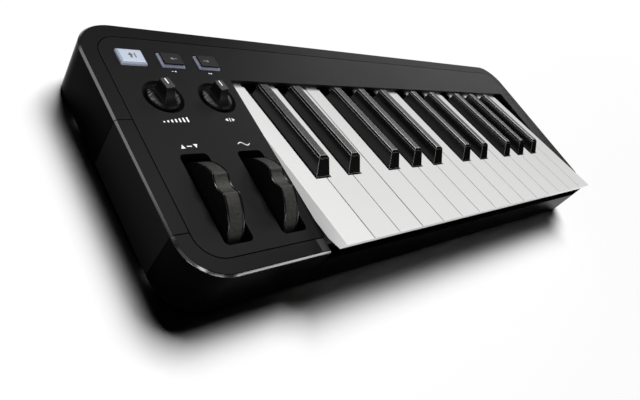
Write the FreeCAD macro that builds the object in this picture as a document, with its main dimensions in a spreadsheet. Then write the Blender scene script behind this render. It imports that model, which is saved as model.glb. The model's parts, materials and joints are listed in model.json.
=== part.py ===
import FreeCAD, Part
import os
import re

# A 25-key controller keyboard: a shallow case with a control panel at its left end,
# fifteen white and ten black sprung keys on one pivot rod, two wheels, two knobs and
# three buttons.  X runs along the keys, Y to the back, Z up; the feet stand on Z = 0
# and the origin is the middle of the footprint.

doc = FreeCAD.newDocument("Keyboard")
sheet = doc.addObject("Spreadsheet::Sheet", "Sizes")

sizes = {
    # case
    "controlWide": 87.4, "cheekWide": 23.5, "keyShow": 127.7, "rearDeep": 40.6,
    "caseTall": 33.5, "footTall": 2.5, "footRadius": 7.0, "cornerRadius": 24.0,
    "shellWall": 2.6, "flangeThick": 2.6, "frameWide": 9.5, "frameRear": 10.2,
    "grooveRadius": 15.0, "grooveGap": 0.4, "seamGap": 0.25, "floorThick": 2.5,
    "frontSeam": 26.4, "rearSeam": 72.4, "railTall": 24.5, "panelThick": 2.6,
    "postRadius": 3.5, "screwRadius": 1.3, "screwHead": 3.0, "screwDeep": 12.0,
    "headTall": 1.6, "restGap": 0.2, "footSide": 0.5, "footFront": 20.0, "footRear": 35.0,
    "postCorner": 15.0, "postWell": 1.0, "postRearSide": 12.0,
    "postRearBack": 20.0, "postMargin": 2.0, "postBevel": 4.0,
    # keys
    "keyPitch": 23.5, "keyGap": 0.8, "bedGap": 1.0, "keyTilt": 7.22, "keyLift": 9.63,
    "keyOverhang": 2.4, "skirtTall": 8.0, "keyTop": 2.2, "keyWall": 1.5,
    "lipThick": 3.4, "lipSlope": 20.0, "lipTall": 5.6, "skirtSlope": 11.8, "blackFront": 49.2,
    "blackShort": 5.3, "blackWide": 11.3, "blackCrown": 8.0, "blackTall": 10.2,
    "blackBackTall": 9.0, "blackSlope": 6.9, "blackDeep": 9.0, "blackClear": 1.0,
    "pairSpread": 2.35, "trioSpread": 3.36, "tailLap": 3.0, "tailInset": 5.5, "pivotInset": 21.0,
    "pivotDown": 5.5, "pivotRadius": 2.0, "blackTailWide": 8.0, "hubTall": 9.5,
    "hubBack": 8.0, "whiteDip": 3.8, "blackDip": 4.4, "runClear": 0.08,
    "stopGap": 0.3, "restClear": 0.1, "feltThick": 2.0, "feltWide": 8.0,
    "frontStopAt": 13.0, "middleStopAt": 52.0, "chassisAt": 9.0, "chassisThick": 2.0,
    "beamWide": 4.0, "earWide": 3.0, "earDeep": 9.0, "earOver": 4.0, "earClear": 0.1,
    "rodFit": 0.02, "domeAt": 88.0, "domeReach": 4.0, "domeTall": 4.5, "domeBase": 3.5,
    "domeCrown": 2.2, "stripDeep": 12.0, "stripThick": 1.0, "contactBoardDeep": 18.0,
    "combBack": 32.1, "combDeep": 5.0, "combThick": 1.0, "fingerBack": 30.1,
    "fingerTip": 15.1, "fingerLift": 2.2, "fingerWide": 4.0, "fingerThick": 0.5,
    # wheels
    "wheelRadius": 27.0, "wheelWide": 10.2, "slotIn": 6.6, "wheelDown": 14.8,
    "wheelFoot": 13.2, "wheelDip": 25.0, "gripThick": 4.4, "gripWide": 8.0,
    "gripInset": 0.3, "notchRadius": 9.0, "notchDeep": 3.0, "axleRadius": 3.0,
    "pitchWheelAt": 33.5, "modWheelAt": 69.95, "slotSide": 3.6, "slotEnd": 5.4,
    "slotCorner": 3.0, "wellWall": 1.2, "wellDeep": 5.5, "cheekThick": 2.0,
    "cheekGap": 1.1, "cheekDeep": 18.0, "cheekOver": 5.0, "potWide": 12.0, "potThick": 6.0,
    "bracketThick": 1.6, "axleEnd": 4.0, "springWide": 3.6, "springThick": 2.0,
    "springClear": 0.4,
    # knobs and buttons
    "knobIn": 55.9, "volumeAt": 34.3, "panAt": 69.5, "knobRadius": 9.6,
    "knobCrown": 8.4, "knobTall": 2.4, "domeRadius": 7.0, "domeRise": 2.6, "gripBarWide": 6.0,
    "gripBarLong": 15.8, "gripBarTall": 9.0, "gripBarTurn": 11.0, "gripBarBack": 6.2,
    "gripBarSlope": 7.6, "dishRadius": 12.0, "dishDeep": 4.5, "knobSink": 1.2,
    "stemRadius": 3.0, "stemClear": 0.6, "potClear": 0.5, "stemLift": 1.0,
    "buttonIn": 27.0, "buttonAt": 26.8, "buttonStep": 24.95, "buttonWide": 15.5,
    "buttonDeep": 11.6, "buttonProud": 2.0, "buttonBevel": 1.1, "buttonClear": 0.3,
    "buttonLip": 0.8, "buttonTravel": 0.8, "flangeTall": 1.0, "plungerRadius": 1.8,
    "plungerClear": 0.1, "capThick": 1.0, "capSide": 1.4, "capEnd": 1.3, "switchWide": 6.0,
    "switchTall": 4.5, "actuatorRadius": 1.6, "actuatorTall": 1.0, "lampWide": 2.0,
    "lampTall": 1.2, "lampGap": 0.6, "boardThick": 1.6, "boardDown": 13.4,
    "boardCorner": 7.0, "boardTrim": 5.0, "boardAhead": 2.0, "boardClear": 2.0,
    "boardPostSide": 4.0, "boardPostBack": 23.0,
    # sockets
    "jackIn": 5.0, "jackStep": 20.0, "jackWide": 13.0, "jackDeep": 17.0,
    "plugRadius": 3.25, "noseRadius": 4.6, "noseIn": 0.3, "jackTall": 14.0, "usbAt": 74.0,
    "usbWide": 12.4, "usbTall": 11.4, "usbDeep": 16.0, "usbHoleWide": 8.6,
    "usbHoleTall": 7.9, "usbHoleDeep": 9.0,
}
for row, (name, value) in enumerate(sizes.items(), start=1):
    sheet.set(f"A{row}", name)
    sheet.set(f"B{row}", str(value))
    sheet.setAlias(f"B{row}", name)
doc.recompute()

aliasWords = re.compile(r"\b(" + "|".join(sizes) + r")\b")
nodes = []


# ---- small builders: each makes one document object bound to the sheet ----

def bind(item, prop, text):
    item.setExpression(prop, aliasWords.sub(r"Sizes.\1", str(text)))


def place(item, at, axis=None, angle="0"):
    if axis:
        item.Placement.Rotation = FreeCAD.Rotation(FreeCAD.Vector(*axis), 1)
        bind(item, "Placement.Rotation.Angle", angle)
    for letter, text in zip("xyz", at):
        bind(item, f"Placement.Base.{letter}", text)
    return item


def box(name, at, size, axis=None, angle="0"):
    item = doc.addObject("Part::Box", name)
    for prop, text in zip(("Length", "Width", "Height"), size):
        bind(item, prop, text)
    return place(item, at, axis, angle)


def post(name, at, radius, tall):
    item = doc.addObject("Part::Cylinder", name)
    bind(item, "Radius", radius)
    bind(item, "Height", tall)
    return place(item, at)


def rod(name, at, radius, long):
    """A cylinder along +X from the point at."""
    item = doc.addObject("Part::Cylinder", name)
    bind(item, "Radius", radius)
    bind(item, "Height", long)
    return place(item, at, (0, 1, 0), "90")


def barrel(name, at, radius, long):
    """A cylinder along -Y from the point at."""
    item = doc.addObject("Part::Cylinder", name)
    bind(item, "Radius", radius)
    bind(item, "Height", long)
    return place(item, at, (1, 0, 0), "90")


def cone(name, at, low, high, tall):
    item = doc.addObject("Part::Cone", name)
    bind(item, "Radius1", low)
    bind(item, "Radius2", high)
    bind(item, "Height", tall)
    return place(item, at)


def fuse(name, items):
    item = doc.addObject("Part::MultiFuse", name)
    item.Shapes = items
    item.Refine = True
    return item


def cut(name, base, tools):
    item = doc.addObject("Part::Cut", name)
    item.Base = base
    item.Tool = tools[0] if len(tools) == 1 else fuse(name + "Tools", tools)
    item.Refine = True
    return item


def common(name, base, tool):
    item = doc.addObject("Part::Common", name)
    item.Base = base
    item.Tool = tool
    item.Refine = True
    return item


def rounded(name, at, size, radius):
    """An upright block with four round corners."""
    x, y, z = at
    long, wide, tall = size
    parts = [
        box(name + "Along", (f"{x} + {radius}", y, z),
            (f"{long} - 2 * {radius}", wide, tall)),
        box(name + "Across", (x, f"{y} + {radius}", z),
            (long, f"{wide} - 2 * {radius}", tall)),
    ]
    for east in (0, 1):
        for north in (0, 1):
            cx = f"{x} + {radius} + {east} * ({long} - 2 * {radius})"
            cy = f"{y} + {radius} + {north} * ({wide} - 2 * {radius})"
            parts.append(post(name + "Corner", (cx, cy, z), radius, tall))
    return fuse(name, parts)


def frustum(name, at, base, crown, tall, slope=("0", "0")):
    """Four sloping sides: base and crown are (x, y) sizes about the point at;
    slope moves the crown's front and back edges inwards."""
    item = doc.addObject("Part::Wedge", name)
    for prop, text in (
            ("Xmin", f"-{base[0]} / 2"), ("Xmax", f"{base[0]} / 2"),
            ("X2min", f"-{crown} / 2"), ("X2max", f"{crown} / 2"),
            ("Zmin", f"-{base[1]}"), ("Zmax", "0"),
            ("Z2min", f"-{base[1]} + {slope[1]}"), ("Z2max", f"-{slope[0]}"),
            ("Ymin", "0"), ("Ymax", tall)):
        bind(item, prop, text)
    return place(item, at, (1, 0, 0), "90")


def node(item, label):
    item.Label = label
    nodes.append(item)
    return item


def plus(*terms):
    return "(" + " + ".join(f"({term})" for term in terms) + ")"


def cosine(angle):
    return f"cos({angle} * 1 deg)"


def sine(angle):
    return f"sin({angle} * 1 deg)"


# ---- places worked out from the driving sizes ----

keyCount = 15
wide = f"(controlWide + {keyCount} * keyPitch + 2 * bedGap + cheekWide)"
deep = "(keyShow + rearDeep)"
left = f"(-{wide} / 2)"
right = f"({wide} / 2)"
front = f"((keyOverhang - {deep}) / 2)"
rear = f"((keyOverhang + {deep}) / 2)"
deck = "(footTall + caseTall)"
floorTop = "(footTall + floorThick)"
bedLeft = f"({left} + controlWide)"
keysLeft = f"({bedLeft} + bedGap)"
keysWide = f"({keyCount} * keyPitch)"
bedRear = f"({front} + keyShow)"
panelLow = f"({deck} - panelThick)"
keyFront = f"({front} - keyOverhang)"
slotWide = "(wheelWide + 2 * slotSide)"
slotLong = "(2 * sqrt(wheelRadius * wheelRadius - wheelDown * wheelDown) + 2 * slotEnd)"
seamBack = f"({rear} - rearSeam)"
keyCrest = f"({deck} + keyLift)"
headLong = "(blackFront - blackClear)"
tailLong = "(keyShow + tailInset)"
blackBack = "(keyShow + keyOverhang - blackShort)"
blackLong = f"({blackBack} - blackFront)"
pivotBack = "(keyShow + keyOverhang + pivotInset)"


def keyPoint(along, down="0"):
    """The Y and Z of a point on the tilted keys: along from their front edge and
    down from their top face, at rest."""
    y = f"({keyFront} + ({along}) * {cosine('keyTilt')} - ({down}) * {sine('keyTilt')})"
    z = f"({keyCrest} - ({along}) * {sine('keyTilt')} - ({down}) * {cosine('keyTilt')})"
    return y, z


def pressedLow(along, down, dip):
    """The Z that an edge of a key reaches when the key is fully down."""
    return f"({keyPoint(along, down)[1]} - ({pivotBack} - ({along})) * {sine(dip)})"


pivotY, pivotZ = keyPoint(pivotBack, "pivotDown")

# ---- the case ----

outer = rounded("Outer", (left, front, "footTall"), (wide, deep, "caseTall"), "cornerRadius")
hollow = rounded(
    "Hollow", (f"{left} + shellWall", f"{front} + shellWall", "footTall - 1"),
    (f"({wide} - 2 * shellWall)", f"({deep} - 2 * shellWall)", "caseTall - flangeThick + 1"),
    "(cornerRadius - shellWall)")
mouth = rounded(
    "Mouth", (f"{left} + frameWide", f"{front} + frameWide", "footTall"),
    (f"({wide} - 2 * frameWide)", f"({deep} - frameWide - frameRear)", "caseTall + 1"),
    "grooveRadius")
ring = cut("Ring", outer, [hollow, mouth])

jackZ = f"({deck} - boardDown - boardThick - jackTall / 2)"
usbZ = f"({deck} - boardDown - boardThick - usbTall / 2)"
jackXs = [f"({left} + cornerRadius + jackIn + {number} * jackStep)" for number in (0, 1)]
usbX = f"({left} + usbAt)"
sockets = [barrel("NoseHole", (x, f"{rear} + 1", jackZ), "noseRadius + restGap", "shellWall + 2")
           for x in jackXs]
sockets.append(box(
    "UsbHole", (f"{usbX} - usbWide / 2 - restGap", f"{rear} - shellWall - 1",
                f"{usbZ} - usbTall / 2 - restGap"),
    ("usbWide + 2 * restGap", "shellWall + 2", "usbTall + 2 * restGap")))


def ringPart(name, x, long, y, deepPart, tall="caseTall + 2"):
    return common(name, ring, box(name + "Zone", (x, y, "footTall - 1"), (long, deepPart, tall)))


rearZone = ringPart("RearZone", f"{left} - 1", f"{wide} + 2",
                    f"{seamBack} + seamGap", "rearSeam")
node(cut("RearFrame", rearZone, sockets), "rear_frame")
sideDeep = f"{seamBack} - {front} - frontSeam - seamGap"
node(ringPart("LeftSide", f"{left} - 1", "cornerRadius", f"{front} + frontSeam + seamGap",
              sideDeep), "left_side_panel")
node(ringPart("RightSide", f"{right} + 1 - cornerRadius", "cornerRadius",
              f"{front} + frontSeam + seamGap", sideDeep), "right_side_panel")
node(ringPart("CornerLeft", f"{left} - 1", "controlWide", f"{front} - 1", "frontSeam + 1"),
     "front_corner_left")
node(ringPart("CornerRight", f"{right} + 1 - cheekWide", "cheekWide", f"{front} - 1",
              "frontSeam + 1"), "front_corner_right")
node(ringPart("FrontRail", f"{bedLeft} - 1 + seamGap", f"{keysWide} + 2 * bedGap + 2 - 2 * seamGap",
              f"{front} - 1", "shellWall + 2", "railTall + 1"), "front_rail")

# the wheel, knob and button places on the panel
wheelXs = [f"({left} + pitchWheelAt)", f"({left} + modWheelAt)"]
wheelY = f"({front} + frameWide + slotIn + {slotLong} / 2)"
wheelZ = f"({deck} - wheelDown)"
knobXs = [f"({left} + volumeAt)", f"({left} + panAt)"]
knobY = f"({rear} - knobIn)"
buttonXs = [f"({left} + buttonAt + {number} * buttonStep)" for number in (0, 1, 2)]
buttonY = f"({rear} - buttonIn)"


def wheelSlot(name, x, grow, low, tall):
    return rounded(
        name, (f"{x} - {slotWide} / 2 - {grow}", f"{wheelY} - {slotLong} / 2 - {grow}", low),
        (f"({slotWide} + 2 * {grow})", f"({slotLong} + 2 * {grow})", tall),
        f"(slotCorner + {grow})")


dishBall = "((dishRadius * dishRadius + dishDeep * dishDeep) / (2 * dishDeep))"
plate = rounded(
    "Plate", (f"{left} + frameWide + grooveGap", f"{front} + frameWide + grooveGap", panelLow),
    (f"({wide} - 2 * frameWide - 2 * grooveGap)",
     f"({deep} - frameWide - frameRear - 2 * grooveGap)", "panelThick"),
    "(grooveRadius - grooveGap)")
panelSolids = [plate]
panelHoles = [box("KeyBed", (bedLeft, f"{front} - 1", f"{panelLow} - 20"),
                  (f"{keysWide} + 2 * bedGap", "keyShow + 1", "panelThick + 21"))]
for x in wheelXs:
    panelSolids.append(wheelSlot("Well", x, "wellWall", f"{panelLow} - wellDeep", "wellDeep + 1"))
    panelHoles.append(wheelSlot("Slot", x, "0", f"{panelLow} - wellDeep - 1",
                                "wellDeep + panelThick + 2"))
for x in knobXs:
    panelSolids.append(post("Cup", (x, knobY, f"{deck} - dishDeep - wellWall"),
                            "dishRadius + wellWall", "dishDeep"))
    ball = doc.addObject("Part::Sphere", "Dish")
    bind(ball, "Radius", dishBall)
    panelHoles.append(place(ball, (x, knobY, f"{deck} - dishDeep + {dishBall}")))
    panelHoles.append(post("StemHole", (x, knobY, f"{panelLow} - 10"),
                           "stemRadius + stemClear", "panelThick + 10"))
for x in buttonXs:
    panelHoles.append(box(
        "ButtonHole", (f"{x} - buttonWide / 2 - buttonClear", f"{buttonY} - buttonDeep / 2 - buttonClear",
                       f"{panelLow} - 1"),
        ("buttonWide + 2 * buttonClear", "buttonDeep + 2 * buttonClear", "panelThick + 2")))
node(cut("Panel", fuse("PanelSolids", panelSolids), panelHoles), "control_panel")

# floor, posts and screws
inset = "(shellWall + restGap)"
floor = rounded("Floor", (f"{left} + {inset}", f"{front} + {inset}", "footTall"),
                (f"({wide} - 2 * {inset})", f"({deep} - 2 * {inset})", "floorThick"),
                f"(cornerRadius - {inset})")
backRow = f"({rear} - shellWall - postRadius - postMargin)"
middleRow = f"({wheelY} + {slotLong} / 2 + wellWall + postRadius + postWell)"
cornerRow = f"({front} + postCorner)"
rearRow = f"({rear} - postRearBack)"
sideIn = "(shellWall + postRadius + postBevel)"
postPlaces = [
    (f"({left} + postCorner)", cornerRow), (f"({left} + {sideIn})", middleRow),
    (f"(({knobXs[0]} + {knobXs[1]}) / 2)", middleRow), (f"({left} + postRearSide)", rearRow),
    (f"({bedLeft} + {keysWide} / 3)", backRow), (f"({bedLeft} + {keysWide} * 2 / 3)", backRow),
    (f"({right} - postCorner)", cornerRow), (f"({right} - {sideIn})", middleRow),
    (f"({right} - postRearSide)", rearRow),
]
boardLow = f"({deck} - boardDown - boardThick)"
boardLeft = f"({left} + cornerRadius - boardCorner)"
boardFrom = "(knobIn + potWide / 2 + boardAhead)"
boardFront = f"({rear} - {boardFrom})"
boardWide = "(controlWide - cornerRadius + boardCorner - boardTrim)"
boardDeep = f"({boardFrom} - shellWall - boardClear)"
boardPlaces = [(f"{boardLeft} + boardPostSide + {east} * ({boardWide} - 2 * boardPostSide)",
                f"{boardFront} + boardPostSide + "
                f"{north} * ({boardDeep} - boardPostSide - boardPostBack)")
               for east in (0, 1) for north in (0, 1)]
casePosts = [post("PanelPost", (x, y, "footTall"), "postRadius", f"{panelLow} - footTall")
             for x, y in postPlaces]
casePosts += [post("BoardPost", (x, y, "footTall"), "postRadius", f"{boardLow} - footTall")
              for x, y in boardPlaces]
screwHoles = [post("HeadHole", (x, y, "footTall - 1"), "screwHead + restGap", "headTall + 1")
              for x, y in postPlaces]
screwHoles += [post("PilotHole", (x, y, "footTall"), "screwRadius", "screwDeep + headTall")
               for x, y in postPlaces]
node(cut("BottomCase", fuse("CaseSolids", [floor] + casePosts), screwHoles), "bottom_case")

screws = []
for x, y in postPlaces:
    screws.append(fuse("Screw", [
        post("Head", (x, y, "footTall"), "screwHead", "headTall"),
        post("Shank", (x, y, "footTall"), "screwRadius", "screwDeep + headTall"),
    ]))
screwGroup = doc.addObject("Part::Compound", "Screws")
screwGroup.Links = screws
node(screwGroup, "case_screws")

footIn = "(footRadius + footSide)"
feet = [post("Foot", (x, y, "0"), "footRadius", "footTall")
        for x in (f"{left} + {footIn}", f"{right} - {footIn}")
        for y in (f"{front} + footRadius + footFront", f"{rear} - footRadius - footRear")]
footGroup = doc.addObject("Part::Compound", "Feet")
footGroup.Links = feet
node(footGroup, "rubber_feet")

# ---- keys ----

blackXs = ["(keyPitch - pairSpread)", "(2 * keyPitch + pairSpread)",
           "(4 * keyPitch - trioSpread)", "(5 * keyPitch)", "(6 * keyPitch + trioSpread)"]
blackHalf = "(blackWide / 2 + blackClear)"
# each white step: the black keys on its left and on its right, None for none
neighbours = [(None, 0), (0, 1), (1, None), (None, 2), (2, 3), (3, 4), (4, None)]


def placeKey(item, octave, label):
    place(item, (plus(keysLeft, f"{octave} * 7 * keyPitch"), keyFront, keyCrest),
          (-1, 0, 0), "keyTilt")
    return node(item, label)


def hub(start, across):
    return box("Hub", (start, f"{tailLong} - tailLap", "-hubTall"),
               (across, f"{pivotBack} + hubBack - {tailLong} + tailLap", "hubTall"))


def pivotBore(centre):
    return rod("Bore", (f"{centre} - keyPitch / 2", pivotBack, "-pivotDown"),
               "pivotRadius + runClear", "keyPitch")


tailMids = []
hubIn = "(earWide / 2 - keyGap / 2 + earClear)"
for number in range(keyCount):
    octave, step = divmod(number, 7)
    lowSide, highSide = neighbours[step]
    if number == keyCount - 1:
        highSide = None
    headLeft = f"({step} * keyPitch + keyGap / 2)"
    headWide = "(keyPitch - keyGap)"
    tailLeft = headLeft if lowSide is None else f"({blackXs[lowSide]} + {blackHalf})"
    tailRight = (f"({headLeft} + {headWide})" if highSide is None
                 else f"({blackXs[highSide]} - {blackHalf})")
    tailWide = f"({tailRight} - {tailLeft})"
    middle = f"(({tailLeft} + {tailRight}) / 2)"
    tailMids.append(plus(f"{octave} * 7 * keyPitch", middle))
    solid = fuse("WhiteSolid", [
        box("Head", (headLeft, "0", "-skirtTall"), (headWide, headLong, "skirtTall")),
        box("Tail", (tailLeft, f"{headLong} - tailLap", "-skirtTall"),
            (tailWide, f"{tailLong} - {headLong} + tailLap", "skirtTall")),
        hub(f"{tailLeft} + {hubIn}", f"{tailWide} - 2 * {hubIn}")])
    hollowTall = "skirtTall - keyTop + 1"
    key = cut("White", solid, [
        box("HeadPocket", (f"{headLeft} + keyWall", "lipThick", "-skirtTall - 1"),
            (f"{headWide} - 2 * keyWall", f"{headLong} - lipThick - keyWall", hollowTall)),
        # the skirt's lower edge rises towards the front, where only the lip is left
        box("SkirtRise", (f"{headLeft} - 1", f"-skirtTall * {sine('skirtSlope')}",
                          f"-lipTall - skirtTall * {cosine('skirtSlope')}"),
            (f"{headWide} + 2", "2 * skirtTall", "skirtTall"), (-1, 0, 0), "skirtSlope"),
        box("TailPocket", (f"{tailLeft} + keyWall", f"{headLong} - tailLap - 1", "-skirtTall - 1"),
            (f"{tailWide} - 2 * keyWall", f"{tailLong} - {headLong} - tailLap + 1", hollowTall)),
        # leans back under the top edge: half of its height is above that edge
        box("Undercut", (f"{headLeft} - 1",
                         f"skirtTall * 2 * ({sine('lipSlope')} - {cosine('lipSlope')})",
                         f"-skirtTall * 2 * ({sine('lipSlope')} + {cosine('lipSlope')})"),
            (f"{headWide} + 2", "skirtTall * 2", "skirtTall * 4"), (1, 0, 0), "lipSlope"),
        pivotBore(middle)])
    placeKey(key, octave, f"white_key_{number + 1:02d}")

blackNumber = 0
for octave in (0, 1):
    for middle in blackXs:
        blackNumber += 1
        tailMids.append(plus(f"{octave} * 7 * keyPitch", middle))
        tailLeft = f"({middle} - blackTailWide / 2)"
        solid = fuse("BlackSolid", [
            box("Body", (f"{middle} - blackWide / 2", "blackFront", "-blackDeep"),
                ("blackWide", blackLong, "blackDeep")),
            frustum("Crown", (middle, "blackFront", "0"), ("blackWide", blackLong),
                    "blackCrown", "blackTall", ("blackSlope", "0")),
            box("BlackTail", (tailLeft, f"{blackBack} - tailLap", "-blackDeep"),
                ("blackTailWide", f"{tailLong} - {blackBack} + tailLap", "blackDeep - 1")),
            hub(tailLeft, "blackTailWide")])
        key = cut("Black", solid, [
            box("BlackPocket", (f"{middle} - blackWide / 2 + keyWall", "blackFront + keyWall",
                                "-blackDeep - 1"),
                ("blackWide - 2 * keyWall", f"{blackLong} - 2 * keyWall", "blackDeep + keyTop")),
            box("CrownSlope", (f"{middle} - blackWide", "blackFront", "blackTall"),
                ("2 * blackWide", f"{blackLong} + 1", "blackTall"), (-1, 0, 0),
                f"atan((blackTall - blackBackTall) / {blackLong})"),
            pivotBore(middle)])
        placeKey(key, octave, f"black_key_{blackNumber:02d}")

# ---- key action ----

stopDrop = [("FrontStop", "frontStopAt", "skirtTall", "whiteDip"),
            ("MiddleStop", "middleStopAt", "blackDeep", "blackDip")]
bed = (keysLeft, keysWide)
chassisFront = keyPoint("chassisAt")[0]
chassisRear = keyPoint(f"{pivotBack} + hubBack")[0]
chassisSolids = [box("ChassisFloor", (bed[0], chassisFront, floorTop),
                     (bed[1], f"{chassisRear} - {chassisFront}", "chassisThick"))]
felts = []
for name, near, down, dip in stopDrop:
    top = f"({pressedLow(f'{near} + feltWide', down, dip)} - stopGap)"
    y = keyPoint(near)[0]
    chassisSolids.append(box(name, (bed[0], y, floorTop),
                             (bed[1], "feltWide", f"{top} - feltThick - {floorTop}")))
    felts.append(box(name + "Felt", (bed[0], y, f"{top} - feltThick"),
                     (bed[1], "feltWide", "feltThick")))
# behind the pivot the key tails rest on a third felt, which stops them rising in front
restTop = f"({keyPoint(f'{pivotBack} + hubBack', 'hubTall')[1]} - restClear)"
restY = keyPoint(f"{pivotBack} + hubBack - beamWide")[0]
chassisSolids.append(box("RearBeam", (bed[0], restY, floorTop),
                         (bed[1], "beamWide", f"{restTop} - feltThick - {floorTop}")))
felts.append(box("RestFelt", (bed[0], restY, f"{restTop} - feltThick"),
                 (bed[1], "beamWide", "feltThick")))
feltGroup = doc.addObject("Part::Compound", "Felts")
feltGroup.Links = felts

earXs = [plus(keysLeft, f"{edgeStep} * keyPitch", "-earWide / 2") for edgeStep in (0, 3, 7, 10, 14, 15)]
for x in earXs:
    chassisSolids.append(box("Ear", (x, f"{pivotY} - earDeep / 2", floorTop),
                             ("earWide", "earDeep", f"{pivotZ} + earOver - {floorTop}")))
domeY = keyPoint("domeAt")[0]
domeTop = f"({pressedLow('domeAt + domeReach', 'blackDeep', 'blackDip')} - stopGap)"
contactLow = f"({domeTop} - domeTall)"
contactBoardLow = f"({contactLow} - boardThick)"
for name, shift in (("BoardRailFront", "-contactBoardDeep / 2"),
                    ("BoardRailRear", "contactBoardDeep / 2 - beamWide")):
    chassisSolids.append(box(name, (bed[0], f"{domeY} + {shift}", floorTop),
                             (bed[1], "beamWide", f"{contactBoardLow} - {floorTop}")))
rodHole = rod("RodHole", (f"{keysLeft} - earWide", pivotY, pivotZ), "pivotRadius + rodFit",
              f"{keysWide} + 2 * earWide")
node(cut("Chassis", fuse("ChassisSolids", chassisSolids), [rodHole]), "key_chassis")
node(rod("PivotRod", (f"{keysLeft} - earWide / 2", pivotY, pivotZ), "pivotRadius",
         f"{keysWide} + earWide"), "key_pivot_rod")
node(feltGroup, "key_felts")
node(box("ContactBoard", (bed[0], f"{domeY} - contactBoardDeep / 2", contactBoardLow),
         (bed[1], "contactBoardDeep", "boardThick")), "key_contact_board")
domes = [box("StripBase", (bed[0], f"{domeY} - stripDeep / 2", contactLow),
             (bed[1], "stripDeep", "stripThick"))]
springComb = [box("CombBase", (bed[0], keyPoint(f"{pivotBack} - combBack")[0],
                               f"{floorTop} + chassisThick"), (bed[1], "combDeep", "combThick"))]
fingerFoot = keyPoint(f"{pivotBack} - fingerBack")[0]
fingerLow = f"({floorTop} + fingerLift)"
fingerEnd = f"{pivotBack} - fingerTip"
fingerTop = f"({pressedLow(fingerEnd, 'hubTall', 'blackDip')} - stopGap)"
fingerRise = f"({fingerTop} - {fingerLow} - fingerThick)"
fingerRun = f"({keyPoint(fingerEnd)[0]} - {fingerFoot})"
for middle in tailMids:
    domes.append(cone("Dome", (plus(keysLeft, middle), domeY, contactLow), "domeBase",
                      "domeCrown", "domeTall"))
    springComb.append(box(
        "Finger", (plus(keysLeft, middle, "-fingerWide / 2"), fingerFoot, fingerLow),
        ("fingerWide", f"sqrt({fingerRise} * {fingerRise} + {fingerRun} * {fingerRun})",
         "fingerThick"), (1, 0, 0), f"atan({fingerRise} / {fingerRun})"))
node(fuse("ContactStrips", domes), "contact_strip")
node(fuse("KeySprings", springComb), "key_springs")

# ---- wheels ----


def spun(y, z, angle):
    return (f"(({y}) * {cosine(angle)} - ({z}) * {sine(angle)})",
            f"(({y}) * {sine(angle)} + ({z}) * {cosine(angle)})")


def wheelTools(x):
    """The cuts that keep the wheel off the floor as it turns, and the thumb notch."""
    tools = []
    for angle in ("wheelDip", "0", "-wheelDip"):
        dy, dz = spun("-2 * wheelRadius", "-wheelFoot - 2 * wheelRadius", angle)
        tools.append(box("WheelTrim", (f"{x} - wheelWide", plus(wheelY, dy), plus(wheelZ, dz)),
                         ("2 * wheelWide", "4 * wheelRadius", "2 * wheelRadius"), (1, 0, 0),
                         angle))
    tools.append(rod("Thumb", (f"{x} - wheelWide", wheelY,
                               f"{wheelZ} + wheelRadius - notchDeep + notchRadius"),
                     "notchRadius", "2 * wheelWide"))
    return tools


cheekOut = "(wheelWide / 2 + cheekGap + cheekThick)"
bracketSolids = []
bracketBores = []
potSolids = []
for name, x in zip(("pitch", "mod"), wheelXs):
    disc = rod("Disc", (f"{x} - wheelWide / 2", wheelY, wheelZ), "wheelRadius", "wheelWide")
    channel = cut("Channel", rod("ChannelOut", (f"{x} - gripWide / 2", wheelY, wheelZ),
                                 "wheelRadius + 1", "gripWide"),
                  [rod("ChannelIn", (f"{x} - gripWide / 2 - 1", wheelY, wheelZ),
                       "wheelRadius - gripInset - gripThick", "gripWide + 2")])
    axle = rod("Axle", (f"{x} - {cheekOut} - potThick", wheelY, wheelZ), "axleRadius",
               f"2 * {cheekOut} + potThick + axleEnd")
    hubPart = cut("WheelHub", disc, wheelTools(x) + [channel])
    node(fuse("Wheel", [hubPart, axle]), f"{name}_wheel")
    tyre = cut("Tyre", rod("TyreOut", (f"{x} - gripWide / 2", wheelY, wheelZ),
                           "wheelRadius - gripInset", "gripWide"),
               [rod("TyreIn", (f"{x} - gripWide / 2 - 1", wheelY, wheelZ),
                    "wheelRadius - gripInset - gripThick", "gripWide + 2")] + wheelTools(x))
    node(tyre, f"{name}_grip")
    for side in (f"{x} - {cheekOut}", f"{x} + {cheekOut} - cheekThick"):
        bracketSolids.append(box("Cheek", (side, f"{wheelY} - cheekDeep / 2", floorTop),
                                 ("cheekThick", "cheekDeep",
                                  f"{wheelZ} + cheekOver - {floorTop}")))
    bracketBores.append(rod("AxleBore", (f"{x} - 2 * {cheekOut}", wheelY, wheelZ),
                            "axleRadius + runClear", f"4 * {cheekOut}"))
    potSolids.append(cut("WheelPot", box(
        "PotBody", (f"{x} - {cheekOut} - potThick", f"{wheelY} - potWide / 2",
                    f"{wheelZ} - potWide / 2"), ("potThick", "potWide", "potWide")),
        [rod("PotBore", (f"{x} - {cheekOut} - potThick - 1", wheelY, wheelZ),
             "axleRadius + runClear", "potThick + 2")]))
bracketLeft = f"{wheelXs[0]} - {cheekOut} - potThick"
bracketSolids.append(box("BracketBase", (bracketLeft, f"{wheelY} - cheekDeep / 2", floorTop),
                         (f"{wheelXs[1]} + {cheekOut} - ({bracketLeft})", "cheekDeep",
                          "bracketThick")))
node(cut("Bracket", fuse("BracketSolids", bracketSolids), bracketBores), "wheel_bracket")
springAt = f"{wheelXs[0]} + {cheekOut}"
node(cut("PitchSpring", rod("SpringOut", (springAt, wheelY, wheelZ),
                            "axleRadius + springClear + springThick", "springWide"),
         [rod("SpringIn", (f"{springAt} - 1", wheelY, wheelZ), "axleRadius + springClear",
              "springWide + 2")]), "pitch_spring")

# ---- knobs ----

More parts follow.
